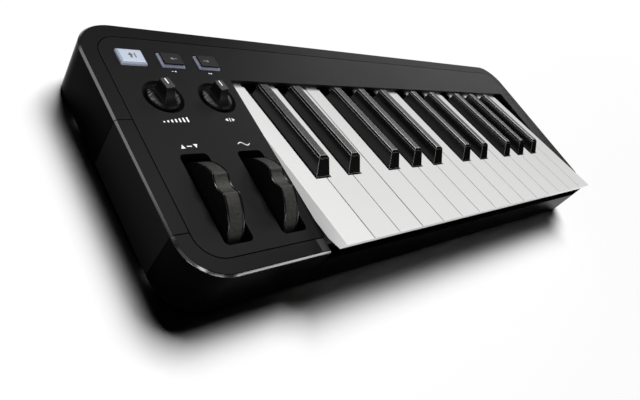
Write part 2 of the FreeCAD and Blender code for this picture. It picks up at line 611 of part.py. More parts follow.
boardTop = f"({boardLow} + boardThick)"
knobLow = f"({deck} - knobSink)"
for name, x in zip(("volume", "pan"), knobXs):
    bar = doc.addObject("Part::Compound", "TurnedBar")
    bar.Links = [frustum("GripBar", ("0", "gripBarBack - gripBarLong", "0"),
                         ("gripBarWide", "gripBarLong"), "gripBarWide",
                         "gripBarTall + knobSink", ("gripBarSlope", "0"))]
    node(fuse("Knob", [
        cone("Skirt", (x, knobY, knobLow), "knobRadius", "knobCrown", "knobTall"),
        cone("Dome", (x, knobY, f"{knobLow} + knobTall"), "knobCrown", "domeRadius", "domeRise"),
        place(bar, (x, knobY, knobLow), (0, 0, 1), "gripBarTurn"),
        post("Stem", (x, knobY, f"{boardTop} + stemLift"), "stemRadius",
             f"{knobLow} - {boardTop}"),
    ]), f"{name}_knob")
    potSolids.append(cut("KnobPot", box(
        "KnobPotBody", (f"{x} - potWide / 2", f"{knobY} - potWide / 2", boardTop),
        ("potWide", "potWide", "potThick")),
        [post("KnobPotBore", (x, knobY, f"{boardTop} + potClear"), "stemRadius + runClear",
              "potThick")]))
potGroup = doc.addObject("Part::Compound", "Pots")
potGroup.Links = potSolids
node(potGroup, "rotary_pots")

# ---- buttons ----

flangeLow = f"({panelLow} - buttonTravel - flangeTall)"
switchTop = f"({boardTop} + switchTall)"
switches = []
lamps = []
for name, x in zip(("shift", "octave_down", "octave_up"), buttonXs):
    capped = name != "shift"
    crest = f"({deck} + buttonProud - capThick)" if capped else f"({deck} + buttonProud)"
    shoulder = f"({crest} - buttonBevel)"
    node(fuse("Button", [
        box("ButtonBody", (f"{x} - buttonWide / 2", f"{buttonY} - buttonDeep / 2", flangeLow),
            ("buttonWide", "buttonDeep", f"{shoulder} - {flangeLow}")),
        frustum("ButtonTop", (x, f"{buttonY} - buttonDeep / 2", shoulder),
                ("buttonWide", "buttonDeep"), "(buttonWide - 2 * buttonBevel)", "buttonBevel",
                ("buttonBevel", "buttonBevel")),
        box("ButtonFlange", (f"{x} - buttonWide / 2 - buttonLip",
                             f"{buttonY} - buttonDeep / 2 - buttonLip", flangeLow),
            ("buttonWide + 2 * buttonLip", "buttonDeep + 2 * buttonLip", "flangeTall")),
        post("Plunger", (x, buttonY, f"{switchTop} + buttonTravel + plungerClear"),
             "plungerRadius", f"{flangeLow} - {switchTop} - buttonTravel"),
    ]), f"{name}_button")
    if capped:
        node(box("Cap", (f"{x} - buttonWide / 2 + capSide", f"{buttonY} - buttonDeep / 2 + capEnd",
                         crest),
                 ("buttonWide - 2 * capSide", "buttonDeep - 2 * capEnd", "capThick")),
             f"{name}_cap")
    switches.append(fuse("Switch", [
        box("SwitchBody", (f"{x} - switchWide / 2", f"{buttonY} - switchWide / 2", boardTop),
            ("switchWide", "switchWide", "switchTall - actuatorTall")),
        post("Actuator", (x, buttonY, boardTop), "actuatorRadius", "switchTall"),
    ]))
    lamps.append(box("Lamp", (f"{x} + switchWide / 2 + lampGap", f"{buttonY} - lampWide / 2",
                              boardTop), ("lampWide", "lampWide", "lampTall")))
switchGroup = doc.addObject("Part::Compound", "Switches")
switchGroup.Links = switches
node(switchGroup, "tact_switches")
lampGroup = doc.addObject("Part::Compound", "Lamps")
lampGroup.Links = lamps
node(lampGroup, "button_lamps")

node(box("ControlBoard", (boardLeft, boardFront, boardLow), (boardWide, boardDeep, "boardThick")),
     "control_board")

# ---- rear sockets, hung under the control board ----

wallIn = f"({rear} - shellWall - restGap)"
jacks = []
for x in jackXs:
    body = fuse("JackSolid", [
        box("JackBody", (f"{x} - jackWide / 2", f"{wallIn} - jackDeep", f"{jackZ} - jackTall / 2"),
            ("jackWide", "jackDeep", "jackTall")),
        barrel("Nose", (x, f"{rear} - noseIn", jackZ), "noseRadius", "shellWall + 2"),
    ])
    jacks.append(cut("Jack", body, [barrel("PlugBore", (x, f"{rear} + 1", jackZ), "plugRadius",
                                           "jackDeep")]))
jackGroup = doc.addObject("Part::Compound", "Jacks")
jackGroup.Links = jacks
node(jackGroup, "pedal_jacks")
usbShell = box("UsbShell", (f"{usbX} - usbWide / 2", f"{rear} - noseIn - usbDeep",
                            f"{usbZ} - usbTall / 2"), ("usbWide", "usbDeep", "usbTall"))
usbHole = box("UsbCavity", (f"{usbX} - usbHoleWide / 2", f"{rear} - noseIn - usbHoleDeep",
                            f"{usbZ} - usbHoleTall / 2"),
              ("usbHoleWide", "usbHoleDeep + 1", "usbHoleTall"))
node(cut("UsbPort", usbShell, [usbHole]), "usb_port")

# ---- check every object, then write the files ----

doc.recompute()
for item in doc.Objects:
    if "Invalid" in item.State or "Error" in item.State:
        raise RuntimeError(f"{item.Name} did not recompute: {item.State}")
for item in nodes:
    if item.Shape.isNull() or not item.Shape.isValid():
        raise RuntimeError(f"{item.Label} has no valid shape")

os.makedirs("parts", exist_ok=True)
for item in nodes:
    item.Shape.exportStep(f"parts/{item.Label}.step")
    bounds = item.Shape.BoundBox
    print(f"{item.Label:20s} {len(item.Shape.Solids)} solids {item.Shape.Volume:10.0f} mm3 "
          f"x {bounds.XMin:.1f}..{bounds.XMax:.1f} y {bounds.YMin:.1f}..{bounds.YMax:.1f} "
          f"z {bounds.ZMin:.1f}..{bounds.ZMax:.1f}")
print(len(nodes), "nodes; key pivot", doc.PivotRod.Placement.Base)
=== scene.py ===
import json
import math
import bmesh
import bpy
from mathutils import Matrix, Vector

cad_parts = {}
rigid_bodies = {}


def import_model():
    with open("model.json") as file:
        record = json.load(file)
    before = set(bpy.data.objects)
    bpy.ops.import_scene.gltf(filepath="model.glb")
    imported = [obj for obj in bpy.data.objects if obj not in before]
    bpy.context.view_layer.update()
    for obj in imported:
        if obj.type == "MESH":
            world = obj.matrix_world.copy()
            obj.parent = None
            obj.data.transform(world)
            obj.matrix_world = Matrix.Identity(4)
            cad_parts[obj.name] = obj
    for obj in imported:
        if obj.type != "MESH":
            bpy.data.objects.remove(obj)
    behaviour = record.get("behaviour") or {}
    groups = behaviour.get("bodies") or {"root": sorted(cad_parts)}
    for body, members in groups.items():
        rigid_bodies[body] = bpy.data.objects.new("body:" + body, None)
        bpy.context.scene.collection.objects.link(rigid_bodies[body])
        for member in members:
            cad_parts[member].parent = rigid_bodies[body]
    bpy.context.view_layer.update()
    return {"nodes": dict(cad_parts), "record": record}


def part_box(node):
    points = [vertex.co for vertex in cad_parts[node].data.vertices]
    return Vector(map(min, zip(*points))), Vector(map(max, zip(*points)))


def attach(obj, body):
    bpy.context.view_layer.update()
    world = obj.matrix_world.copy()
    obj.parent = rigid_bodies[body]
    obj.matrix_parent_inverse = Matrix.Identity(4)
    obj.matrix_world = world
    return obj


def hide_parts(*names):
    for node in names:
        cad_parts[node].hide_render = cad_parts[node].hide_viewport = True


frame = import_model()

mm = 0.001
nodes = frame["nodes"]
bodyNodes = frame["record"]["behaviour"]["bodies"]
bodyOf = {node: body for body, members in bodyNodes.items() for node in members}
slotOf = {part["node"]: part["material_slot"] for part in frame["record"]["subparts"]}
print("frame loaded:", len(nodes), "nodes")


# shader maths: an expression on sockets adds its own Math nodes

class Value:
    def __init__(self, finish, socket):
        self.finish = finish
        self.socket = socket

    def maths(self, operation, other):
        return self.finish.add("Math", {"operation": operation}, {0: self, 1: other})

    def __add__(self, other):
        return self.maths("ADD", other)

    def __mul__(self, other):
        return self.maths("MULTIPLY", other)


class Finish:
    # a material: fixed values go straight on its shader, varying ones through add()
    def __init__(self, name, **fixed):
        self.material = bpy.data.materials.new(name)
        self.material.use_nodes = True
        self.tree = self.material.node_tree
        self.shader = self.tree.nodes["Principled BSDF"]
        for socket, value in fixed.items():
            self.set(socket, value)

    def set(self, words, value):
        name = {"color": "Base Color", "roughness": "Roughness", "metallic": "Metallic",
                "specular": "Specular IOR Level", "normal": "Normal"}[words]
        self.put(self.shader.inputs[name], value)

    def put(self, socket, value):
        if isinstance(value, Value):
            self.tree.links.new(value.socket, socket)
        elif isinstance(value, tuple) and len(value) == 3 and socket.type == "RGBA":
            socket.default_value = (*value, 1)
        else:
            socket.default_value = value

    def add(self, kind, settings=None, values=None, out=0):
        node = self.tree.nodes.new("ShaderNode" + kind)
        for name, value in (settings or {}).items():
            if name == "ramp":
                for element, position, shade in zip(node.color_ramp.elements, value, (0, 1)):
                    element.position = position
                    element.color = (shade, shade, shade, 1)
            else:
                setattr(node, name, value)
        for name, value in (values or {}).items():
            self.put(node.inputs[name], value)
        return Value(self, node.outputs[out])

    def place(self, stretch=(1, 1, 1)):
        spot = self.add("TexCoord", out="Object")
        return self.add("Mapping", {}, {"Vector": spot, "Scale": stretch})

    def noise(self, scale, detail=3, rough=0.5, stretch=(1, 1, 1)):
        return self.add("TexNoise", {}, {"Vector": self.place(stretch), "Scale": scale,
                                         "Detail": detail, "Roughness": rough}, "Fac")

    def blend(self, factor, low, high):
        return self.add("Mix", {"data_type": "RGBA"}, {0: factor, 6: low, 7: high}, 2)

    def bump(self, height, distance):
        self.set("normal", self.add("Bump", {}, {"Height": height, "Distance": distance,
                                                 "Strength": 1.0}))
        return self

    def sharpened(self, value, low, high):
        # spreads the values between low and high over the whole range from 0 to 1
        return self.add("ValToRGB", {"ramp": (low, high)}, {0: value})


def grained(name, dark, light, grain, depth, roughness, spread=0.06, driftShare=0.6, **fixed):
    # moulded plastic: slow colour drift, fine grain in height and in roughness
    finish = Finish(name, **fixed)
    drift = finish.noise(scale=14, detail=2)
    fine = finish.noise(scale=grain, detail=4, rough=0.6)
    mixed = drift * driftShare + fine * (1 - driftShare)
    finish.set("color", finish.blend(mixed, dark, light))
    finish.set("roughness", fine * spread + drift * spread + (roughness - spread))
    return finish.bump(fine, depth)


def polished(name, color, roughness, ripples=0.00002, spread=0.07, **fixed):
    # high gloss: faint ripple of the moulding and a haze of handling marks
    finish = Finish(name, color=color, **fixed)
    haze = finish.noise(scale=55, detail=4, rough=0.65)
    ripple = finish.noise(scale=120, detail=1)
    finish.set("roughness", haze * spread + (roughness - 0.03))
    return finish.bump(ripple, ripples)


def brushedTop(name, dark, light, roughness=0.34, spread=0.2):
    # moulded texture whose short streaks run across the key
    finish = Finish(name, specular=0.12)
    streaks = finish.noise(scale=900, detail=4, rough=0.7, stretch=(0.35, 1, 1))
    finish.set("color", finish.blend(finish.sharpened(streaks, low=0.36, high=0.64), dark, light))
    finish.set("roughness", streaks * spread + roughness)
    return finish.bump(streaks, distance=0.00009)


def speckled(name, dark, light, roughness=0.5, spread=0.2):
    # soft-touch rubber: coarse raised grain that also speckles its tone
    finish = Finish(name, specular=0.2)
    grain = finish.noise(scale=1000, detail=4, rough=0.75)
    finish.set("color", finish.blend(finish.sharpened(grain, low=0.38, high=0.66), dark, light))
    finish.set("roughness", grain * spread + roughness)
    return finish.bump(grain, distance=0.00022)


def metal(name, color, roughness, spread=0.15, darkest=0.8):
    finish = Finish(name, metallic=1.0)
    brushed = finish.noise(scale=900, detail=3, rough=0.5, stretch=(1, 0.06, 1))
    finish.set("color", finish.blend(brushed, color, tuple(c * darkest for c in color)))
    finish.set("roughness", brushed * spread + roughness)
    return finish.bump(brushed, distance=0.00001)


finishes = {
    "case_gloss": polished("caseGloss", color=(0.0008, 0.0008, 0.0008), roughness=0.12,
                           specular=0.004),
    "case_satin": grained("caseSatin", dark=(0.003, 0.003, 0.003), light=(0.005, 0.005, 0.0052),
                          grain=2600, depth=0.00003, roughness=0.42, specular=0.015),
    "frameTop": grained("frameTop", dark=(0.002, 0.002, 0.002), light=(0.004, 0.004, 0.004),
                        grain=3000, depth=0.00002, roughness=0.4, specular=0.022),
    # the frame plastic again in a lighter colour: a painted highlight on the sloped end facets
    # beside the key bed
    "frameSlopePaintedLight": grained("frameSlopePaintedLight", dark=(0.014, 0.014, 0.014), light=(0.018, 0.018, 0.018),
                          grain=3000, depth=0.00002, roughness=0.4, specular=0.1),
    "frameEdge": polished("frameEdge", color=(0.006, 0.006, 0.006), roughness=0.2, specular=0.9),
    "panel_matte": grained("panelMatte", dark=(0.0012, 0.0012, 0.0012),
                           light=(0.0028, 0.0028, 0.0028), grain=2400, depth=0.00004,
                           roughness=0.42, specular=0.03),
    "case_matte": grained("caseMatte", dark=(0.006, 0.006, 0.006), light=(0.010, 0.010, 0.010),
                          grain=1200, depth=0.00006, roughness=0.6, specular=0.2),
    "key_white": grained("keyWhite", dark=(0.66, 0.66, 0.655), light=(0.70, 0.70, 0.695),
                         grain=500, depth=0.000006, roughness=0.32, spread=0.05, specular=0.4),
    "key_black": polished("keyBlackSide", color=(0.002, 0.002, 0.002), roughness=0.22,
                          specular=0.3),
    "keyBlackFront": polished("keyBlackFront", color=(0.002, 0.002, 0.002), roughness=0.25,
                              specular=0.005),
    "keyBlackEdge": polished("keyBlackEdge", color=(0.012, 0.012, 0.012), roughness=0.3,
                             ripples=0.000002, specular=0.8),
    "keyBlackTop": brushedTop("keyBlackTop", dark=(0.004, 0.004, 0.004),
                              light=(0.024, 0.024, 0.023)),
    "wheel_gloss": polished("wheelGloss", color=(0.003, 0.003, 0.003), roughness=0.16,
                            specular=0.25),
    "wheel_rubber": speckled("wheelRubber", dark=(0.004, 0.004, 0.0037),
                             light=(0.034, 0.033, 0.030)),
    "knob_gloss": polished("knobGloss", color=(0.003, 0.003, 0.003), roughness=0.34,
                           specular=0.09),
    "knobTop": grained("knobTop", dark=(0.007, 0.007, 0.007), light=(0.012, 0.012, 0.012),
                       grain=1500, depth=0.00002, roughness=0.45, specular=0.12),
    "print": grained("printWhite", dark=(0.50, 0.50, 0.50), light=(0.62, 0.62, 0.62), grain=3000,
                     depth=0.00001, roughness=0.5),
    "printDim": grained("printDim", dark=(0.05, 0.05, 0.055), light=(0.08, 0.08, 0.085),
                        grain=3000, depth=0.00001, roughness=0.5),
    "printDark": grained("printDark", dark=(0.006, 0.007, 0.009), light=(0.01, 0.011, 0.013),
                         grain=3000, depth=0.00001, roughness=0.5),
    "button_translucent": grained("buttonFrosted", dark=(0.25, 0.29, 0.36),
                                  light=(0.31, 0.35, 0.42), grain=700, depth=0.00001,
                                  roughness=0.35, specular=0.4),
    "buttonViolet": grained("buttonViolet", dark=(0.13, 0.14, 0.20), light=(0.18, 0.19, 0.26),
                            grain=700, depth=0.00001, roughness=0.35, specular=0.4),
    "button_black": grained("buttonBlack", dark=(0.004, 0.004, 0.004), light=(0.008, 0.008, 0.008),
                            grain=2000, depth=0.00003, roughness=0.45, specular=0.05),
    "steel": metal("platedSteel", color=(0.55, 0.55, 0.56), roughness=0.28),
    "socket_metal": metal("socketSteel", color=(0.6, 0.6, 0.6), roughness=0.22),
    "foot_rubber": grained("footRubber", dark=(0.014, 0.014, 0.014), light=(0.022, 0.022, 0.022),
                           grain=1500, depth=0.00008, roughness=0.7),
    "contact_rubber": grained("contactRubber", dark=(0.35, 0.35, 0.36), light=(0.45, 0.45, 0.46),
                              grain=900, depth=0.00003, roughness=0.6),
    "felt": grained("greyFelt", dark=(0.02, 0.02, 0.022), light=(0.05, 0.05, 0.052), grain=1800,
                    depth=0.0002, roughness=0.9),
    "circuit_board": grained("circuitBoard", dark=(0.012, 0.07, 0.03), light=(0.02, 0.11, 0.05),
                             grain=400, depth=0.00003, roughness=0.4),
    "component": grained("component", dark=(0.012, 0.012, 0.012), light=(0.02, 0.02, 0.02),
                         grain=900, depth=0.00004, roughness=0.5),
    "lamp": polished("lampClear", color=(0.8, 0.85, 0.9), roughness=0.1),
}
for name, node in nodes.items():
    node.data.materials.clear()
    node.data.materials.append(finishes[slotOf[name]].material)
print("finishes made:", len(finishes))


# making pieces from bmeshes and from copies of the frame's own shapes

copies = {"weld": 0.002 * mm, "flat": 0.4, "sharp": 32, "crease": 50}


def finishPiece(name, mesh, body, looks, replaced=()):
    # turns a bmesh into a piece that rides on its body, with shading that keeps flats flat
    for face in mesh.faces:
        face.smooth = True
    data = bpy.data.meshes.new(name)
    mesh.to_mesh(data)
    mesh.free()
    for finish in looks:
        data.materials.append(finishes[finish].material)
    data.set_sharp_from_angle(angle=math.radians(copies["crease"]))
    piece = bpy.data.objects.new(name, data)
    bpy.context.scene.collection.objects.link(piece)
    weighted = piece.modifiers.new("flats", "WEIGHTED_NORMAL")
    weighted.keep_sharp = True
    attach(piece, body)
    if replaced:
        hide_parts(*replaced)
    return piece


def cadCopy(node):
    mesh = bmesh.new()
    mesh.from_mesh(nodes[node].data)
    bmesh.ops.remove_doubles(mesh, verts=mesh.verts, dist=copies["weld"])
    bmesh.ops.dissolve_limit(mesh, angle_limit=math.radians(copies["flat"]), verts=mesh.verts,
                             edges=mesh.edges)
    return mesh


def sharpEdges(mesh, angle=copies["sharp"]):
    limit = math.radians(angle)
    return [edge for edge in mesh.edges
            if len(edge.link_faces) == 2 and edge.calc_face_angle(0) > limit]


def roundOff(mesh, edges, width, segments=2):
    if not edges:
        return []
    return bmesh.ops.bevel(mesh, geom=edges, offset=width, offset_type="OFFSET", affect="EDGES",
                           segments=segments, profile=0.5, material=-1,
                           clamp_overlap=True)["faces"]


def softened(node, width, segments=2):
    mesh = cadCopy(node)
    roundOff(mesh, sharpEdges(mesh), width, segments)
    return mesh


# the case: a wide chamfer runs round the top edge, with small radii elsewhere

case = {"chamfer": 1.15 * mm, "edge": 0.22 * mm, "grooveEdge": 0.3 * mm,
        "endLong": 6.4 * mm, "endDrop": 0.5 * mm, "corner": 24 * mm, "rimNear": 0.05 * mm,
        "rimBand": 0.6 * mm, "rimAngle": 60, "edgeAngle": 30, "levelFace": 0.98,
        "slopedFace": 0.03}
hair = 0.01 * mm  # points nearer than this are the same
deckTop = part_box("control_panel")[1].z
outerX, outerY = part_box("rear_frame")[1].x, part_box("rear_frame")[1].y
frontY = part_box("front_corner_left")[0].y


def onRim(point):
    # how far a point lies from the case's rounded outline, seen from above
    corner = case["corner"]
    x = abs(point.x) - (outerX - corner)
    y = abs(point.y - (outerY + frontY) / 2) - ((outerY - frontY) / 2 - corner)
    if x > 0 and y > 0:
        return abs(math.hypot(x, y) - corner)
    return min(abs(x - corner), abs(y - corner))


for name in ("rear_frame", "left_side_panel", "right_side_panel", "front_corner_left",
             "front_corner_right"):
    mesh = cadCopy(name)
    if name.startswith("front"):
        # the frame's end beside the key bed slopes down a little
        sign = -1 if name.endswith("left") else 1
        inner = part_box(name)[1].x if sign < 0 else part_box(name)[0].x
        bmesh.ops.bisect_plane(mesh, geom=[*mesh.verts, *mesh.edges, *mesh.faces], dist=1e-6,
                               plane_co=(inner + sign * case["endLong"], 0, 0),
                               plane_no=(1, 0, 0))
        for vert in mesh.verts:
            if abs(vert.co.x - inner) < hair and vert.co.z > deckTop - hair:
                vert.co.z -= case["endDrop"]
        mesh.normal_update()
    rim = [edge for edge in sharpEdges(mesh, case["rimAngle"])
           if all(vert.co.z > deckTop - case["rimBand"] and onRim(vert.co) < case["rimNear"]
                  for vert in edge.verts)]
    made = bmesh.ops.bevel(mesh, geom=rim, offset=case["chamfer"], offset_type="OFFSET",
                           affect="EDGES", segments=1, profile=0.5, material=-1)
    for face in made["faces"]:
        face.material_index = 2
    roundOff(mesh, sharpEdges(mesh, case["edgeAngle"]), case["edge"], 2)
    for face in mesh.faces:
        atTop = face.calc_center_median().z > deckTop - case["rimBand"]
        if atTop and face.normal.z > case["levelFace"]:
            # the sloped end facets of the front corners get the lighter copy of the frame finish,
            # a painted highlight
            sloped = name.startswith("front") and abs(face.normal.x) > case["slopedFace"]
            face.material_index = 3 if sloped else 1
    side = slotOf[name]
    finishPiece(name + "_shell", mesh, "case", [side, "frameTop", "frameEdge", "frameSlopePaintedLight"],
                [name])

finishPiece("front_rail_shell", softened("front_rail", case["edge"]), "case", ["case_gloss"],
            ["front_rail"])
finishPiece("panel_shell", softened("control_panel", case["grooveEdge"], 3), "case",
            ["panel_matte"], ["control_panel"])
print("case done")


# keys: rounded white ones, black ones with a sloped edge round the top

keys = {"whiteEdge": 0.5 * mm, "blackSlope": 1.1 * mm, "blackEdge": 0.3 * mm,
        "shownTo": 41.0 * mm,  # further back a black key is under the rear frame
        "edgeAngle": 22, "topFace": 0.93, "sideFace": 0.5, "frontFace": 0.6}
for body in bodyNodes:
    if body.startswith("white_key"):
        finishPiece(body + "_shell", softened(body, keys["whiteEdge"], 3), body, ["key_white"],
                    [body])
    if body.startswith("black_key"):
        mesh = cadCopy(body)
        tops = {face for face in mesh.faces
                if face.normal.z > keys["topFace"] and face.calc_center_median().z > deckTop}
        crown = [edge for face in tops for edge in face.edges
                 if any(max(abs(other.normal.x), -other.normal.y) > keys["sideFace"]
                        for other in edge.link_faces)]
        for face in tops:
            face.material_index = 1
        for face in mesh.faces:
            if face.normal.y < -keys["frontFace"]:
                face.material_index = 3
        for face in roundOff(mesh, crown, keys["blackSlope"], 1):
            face.material_index = 3
        shown = [edge for edge in sharpEdges(mesh, keys["edgeAngle"])
                 if all(vert.co.y < keys["shownTo"] for vert in edge.verts)]
        for face in roundOff(mesh, shown, keys["blackEdge"], 2):
            face.material_index = 2
        finishPiece(body + "_shell", mesh, body, ["key_black", "keyBlackTop", "keyBlackEdge",
                                                  "keyBlackFront"], [body])
print("keys done")


# wheels and their grips

wheels = {"rim": 0.3 * mm, "grip": 0.4 * mm}
for body in ("pitch_wheel", "mod_wheel"):
    grip = body.replace("wheel", "grip")
    finishPiece(body + "_shell", softened(body, wheels["rim"], 2), body, ["wheel_gloss"], [body])
    finishPiece(grip + "_shell", softened(grip, wheels["grip"], 2), body, ["wheel_rubber"],
                [grip])
print("wheels done")


# knobs: a fluted skirt that sweeps up into a flat-topped pointer bar, sizes in mm

knob = {
    "around": 168, "rise": 16, "radius": 9.5, "low": -1.2, "rim": 0.55, "high": 9.0,
    "halfWide": 3.1, "back": 5.8, "front": -2.1, "toe": -9.0, "turn": 11, "flutes": 28,
    "fluteDeep": 0.06, "fluteFade": 3.5, "edge": 0.35, "inset": 0.2, "lipIn": 0.4,
    "lipRound": 0.3, "sweep": 4.5, "toeSweep": 1.15, "climb": 1.5,
    "corners": {"gain": 5, "rate": 2.6},  # how soon the round skirt turns into a square bar
    "crown": {"wide": 0.9, "long": 0.92, "middle": 1.8},
    "pointer": {"wide": 0.75, "long": 3.9, "from": 1.2, "thick": 0.06, "proud": 0.01},
}


def knobRing(share):
    # outline of the knob at a height share from 0, the skirt's rim, to 1, the bar's top
    spread = (1 - share) ** knob["sweep"]
    reach = knob["radius"] - knob["inset"]
    wide = knob["halfWide"] + (reach - knob["halfWide"]) * spread
    back = knob["back"] + (reach - knob["back"]) * spread
    front = knob["front"] + (knob["toe"] - knob["front"]) * (1 - share) ** knob["toeSweep"]
    square = 2 / (2 + knob["corners"]["gain"] * min(1, share * knob["corners"]["rate"]))
    points = []
    for step in range(knob["around"]):
        angle = 2 * math.pi * step / knob["around"]
        c, s = math.cos(angle), math.sin(angle)
        x = math.copysign(abs(c) ** square, c) * wide
        y = math.copysign(abs(s) ** square, s) * (back if s > 0 else -front)
        flute = knob["fluteDeep"] * math.cos(knob["flutes"] * angle)
        fade = max(0, 1 - share * knob["fluteFade"])
        points.append((x, y, flute * fade))
    return points


def circleRing(radius):
    return [(radius * math.cos(2 * math.pi * step / knob["around"]),
             radius * math.sin(2 * math.pi * step / knob["around"]), 0)
            for step in range(knob["around"])]


def stackRings(mesh, rings, turn, at):
    # a circle is drawn and extruded ring by ring, each ring set to its outline and height
    made = bmesh.ops.create_circle(mesh, cap_ends=False, segments=len(rings[0][0]), radius=1)
    loop = made["verts"]
    place = Matrix.Translation(at) @ Matrix.Rotation(math.radians(turn), 4, "Z")
    for level, (outline, z) in enumerate(rings):
        if level:
            edges = [edge for edge in mesh.edges if all(vert in ring for vert in edge.verts)]
            grown = bmesh.ops.extrude_edge_only(mesh, edges=edges)["geom"]
            fresh = [item for item in grown if isinstance(item, bmesh.types.BMVert)]
            partner = {}
            for vert in fresh:
                old = next(edge.other_vert(vert) for edge in vert.link_edges
                           if edge.other_vert(vert) in ring)
                partner[old] = vert
            loop = [partner[vert] for vert in loop]
        ring = set(loop)
        for vert, (x, y, lift) in zip(loop, outline):
            vert.co = place @ (Vector((x, y, z + lift)) * mm)
    bmesh.ops.contextual_create(mesh, geom=[edge for edge in mesh.edges
                                            if all(vert in ring for vert in edge.verts)])
    return mesh


for body in ("volume_knob", "pan_knob"):
    low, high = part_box(body)
    at = Vector(((low.x + high.x) / 2, (low.y + high.y) / 2, deckTop))
    rim = knob["rim"]
    rings = [(circleRing(knob["radius"] - knob["lipIn"]), knob["low"]),
             (circleRing(knob["radius"]), knob["low"] + knob["lipRound"]),
             (circleRing(knob["radius"]), rim - knob["lipRound"])]
    for step in range(knob["rise"] + 1):
        share = step / knob["rise"]
        height = rim + (knob["high"] - knob["edge"] - rim) * share ** knob["climb"]
        rings.append((knobRing(share), height))
    crown = knob["crown"]
    top = [(x * crown["wide"], (y - crown["middle"]) * crown["long"] + crown["middle"], 0)
           for x, y, _ in knobRing(1)]
    rings.append((top, knob["high"]))
    mesh = stackRings(bmesh.new(), rings, knob["turn"], at)
    bmesh.ops.recalc_face_normals(mesh, faces=mesh.faces)
    for face in mesh.faces:
        if face.calc_center_median().z > at.z + knob["high"] * mm - hair:
            face.material_index = 1
    finishPiece(body + "_shell", mesh, body, ["knob_gloss", "knobTop"], [body])
    line = knob["pointer"]
    mesh = bmesh.new()
    bmesh.ops.create_cube(mesh, size=1)
    size = (line["wide"] * mm, line["long"] * mm, line["thick"] * mm)
    middle = knob["high"] + line["proud"] - line["thick"] / 2
    centre = Vector((0, (line["from"] + line["long"] / 2) * mm, middle * mm))
    turn = Matrix.Rotation(math.radians(knob["turn"]), 4, "Z")
    bmesh.ops.transform(mesh, matrix=Matrix.Translation(at) @ turn @ Matrix.Translation(centre)
                        @ Matrix.Diagonal((*size, 1)), verts=mesh.verts)
    finishPiece(body + "_pointer", mesh, body, ["print"], ())
print("knobs done")


# buttons and the caps on two of them

buttons = {"edge": 0.5 * mm, "capEdge": 0.25 * mm}
for body in ("shift_button", "octave_down_button", "octave_up_button"):
    color = "button_translucent" if body == "shift_button" else "buttonViolet"
    finishPiece(body + "_shell", softened(body, buttons["edge"], 3), body, [color], [body])
    cap = body.replace("button", "cap")
    if cap in nodes:
        finishPiece(cap + "_shell", softened(cap, buttons["capEdge"], 2), body,
                    ["button_black"], [cap])
print("buttons done")


# printed marks: plain shapes that say what each control does, in mm from its middle

marks = {"thick": 0.05 * mm, "lift": 0.05 * mm}


def strokes(name, node, shapes, z=deckTop, body="case", finish="print"):
    # each shape is a flat outline, extruded to a thin raised print
    low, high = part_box(node)
    mesh = bmesh.new()
    for outline in shapes:
        made = bmesh.ops.create_circle(mesh, cap_ends=True, segments=len(outline), radius=1)
        for vert, (x, y) in zip(made["verts"], outline):
            vert.co = ((low.x + high.x) / 2 + x * mm, (low.y + high.y) / 2 + y * mm,
                       z + marks["lift"])
    faces = list(mesh.faces)
    bmesh.ops.recalc_face_normals(mesh, faces=faces)
    for face in faces:
        if face.normal.z < 0:
            face.normal_flip()
    bmesh.ops.solidify(mesh, geom=faces, thickness=marks["thick"])
    finishPiece(name, mesh, body, [finish], ())


def bar(x, y, wide, tall):
    return [(x - wide / 2, y - tall / 2), (x + wide / 2, y - tall / 2),
            (x + wide / 2, y + tall / 2), (x - wide / 2, y + tall / 2)]


def wedge(x, y, wide, tall, points):
    # a triangle whose tip points left, right, up or down
    turn = {"right": 0, "up": 90, "left": 180, "down": 270}[points]
    c, s = math.cos(math.radians(turn)), math.sin(math.radians(turn))
    corners = [(-wide / 2, -tall / 2), (wide / 2, 0), (-wide / 2, tall / 2)]
    return [(x + px * c - py * s, y + px * s + py * c) for px, py in corners]


def wave(x, y, wide, tall, thick):
    steps = 14
    upper = [(x - wide / 2 + wide * i / steps,
              y + tall / 2 * math.sin(2 * math.pi * i / steps) + thick / 2)
             for i in range(steps + 1)]
    lower = [(px, py - thick) for px, py in reversed(upper)]
    return lower + upper


# the volume's mark is a row of seven bars, each a little taller and higher than the last
strokes("volumeMark", "volume_knob",
        [bar(-7.6 + 2.45 * i, -17.95 + 0.22 * i, 1.0, 0.9 + 0.44 * i) for i in range(7)])
strokes("panMark", "pan_knob", [wedge(-2.4, -17.05, 1.9, 2.4, "left"),
                                bar(0.05, -17.05, 0.6, 2.6),
                                wedge(2.5, -17.05, 1.9, 2.4, "right")])
strokes("pitchMark", "pitch_wheel", [wedge(-2.8, 32.97, 2.6, 2.6, "up"),
                                     bar(1.2, 32.97, 2.9, 0.6),
                                     wedge(5.2, 32.97, 2.6, 2.6, "down")])
strokes("modMark", "mod_wheel", [wave(0.45, 32.97, 8.2, 2.2, 0.6)])
strokes("downMark", "octave_down_button", [bar(-2.65, -8.75, 1.1, 0.35),
                                           wedge(-0.95, -8.75, 1.2, 1.1, "left")])
strokes("upMark", "octave_up_button", [bar(-2.6, -8.75, 1.1, 0.35), bar(-2.6, -8.75, 0.35, 1.1),
                                       wedge(-0.9, -8.75, 1.2, 1.1, "right")])
strokes("shiftMark", "shift_button", [wedge(-0.7, 1.25, 2.2, 3.4, "up"),
                                      bar(-0.7, -0.75, 1.3, 2.0), bar(2.0, 0.25, 0.7, 3.8)],
        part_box("shift_button")[1].z, "shift_button", "printDark")
strokes("downCapMark", "octave_down_cap", [wedge(-0.35, -0.15, 1.8, 2.2, "left"),
                                           bar(2.05, -0.15, 2.2, 0.5)],
        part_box("octave_down_cap")[1].z, "octave_down_button", "printDim")
strokes("upCapMark", "octave_up_cap", [bar(-2.5, -0.15, 2.2, 0.5),
                                       wedge(-0.1, -0.15, 1.8, 2.2, "right")],
        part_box("octave_up_cap")[1].z, "octave_up_button", "printDim")
print("marks done")


# stage, light and camera

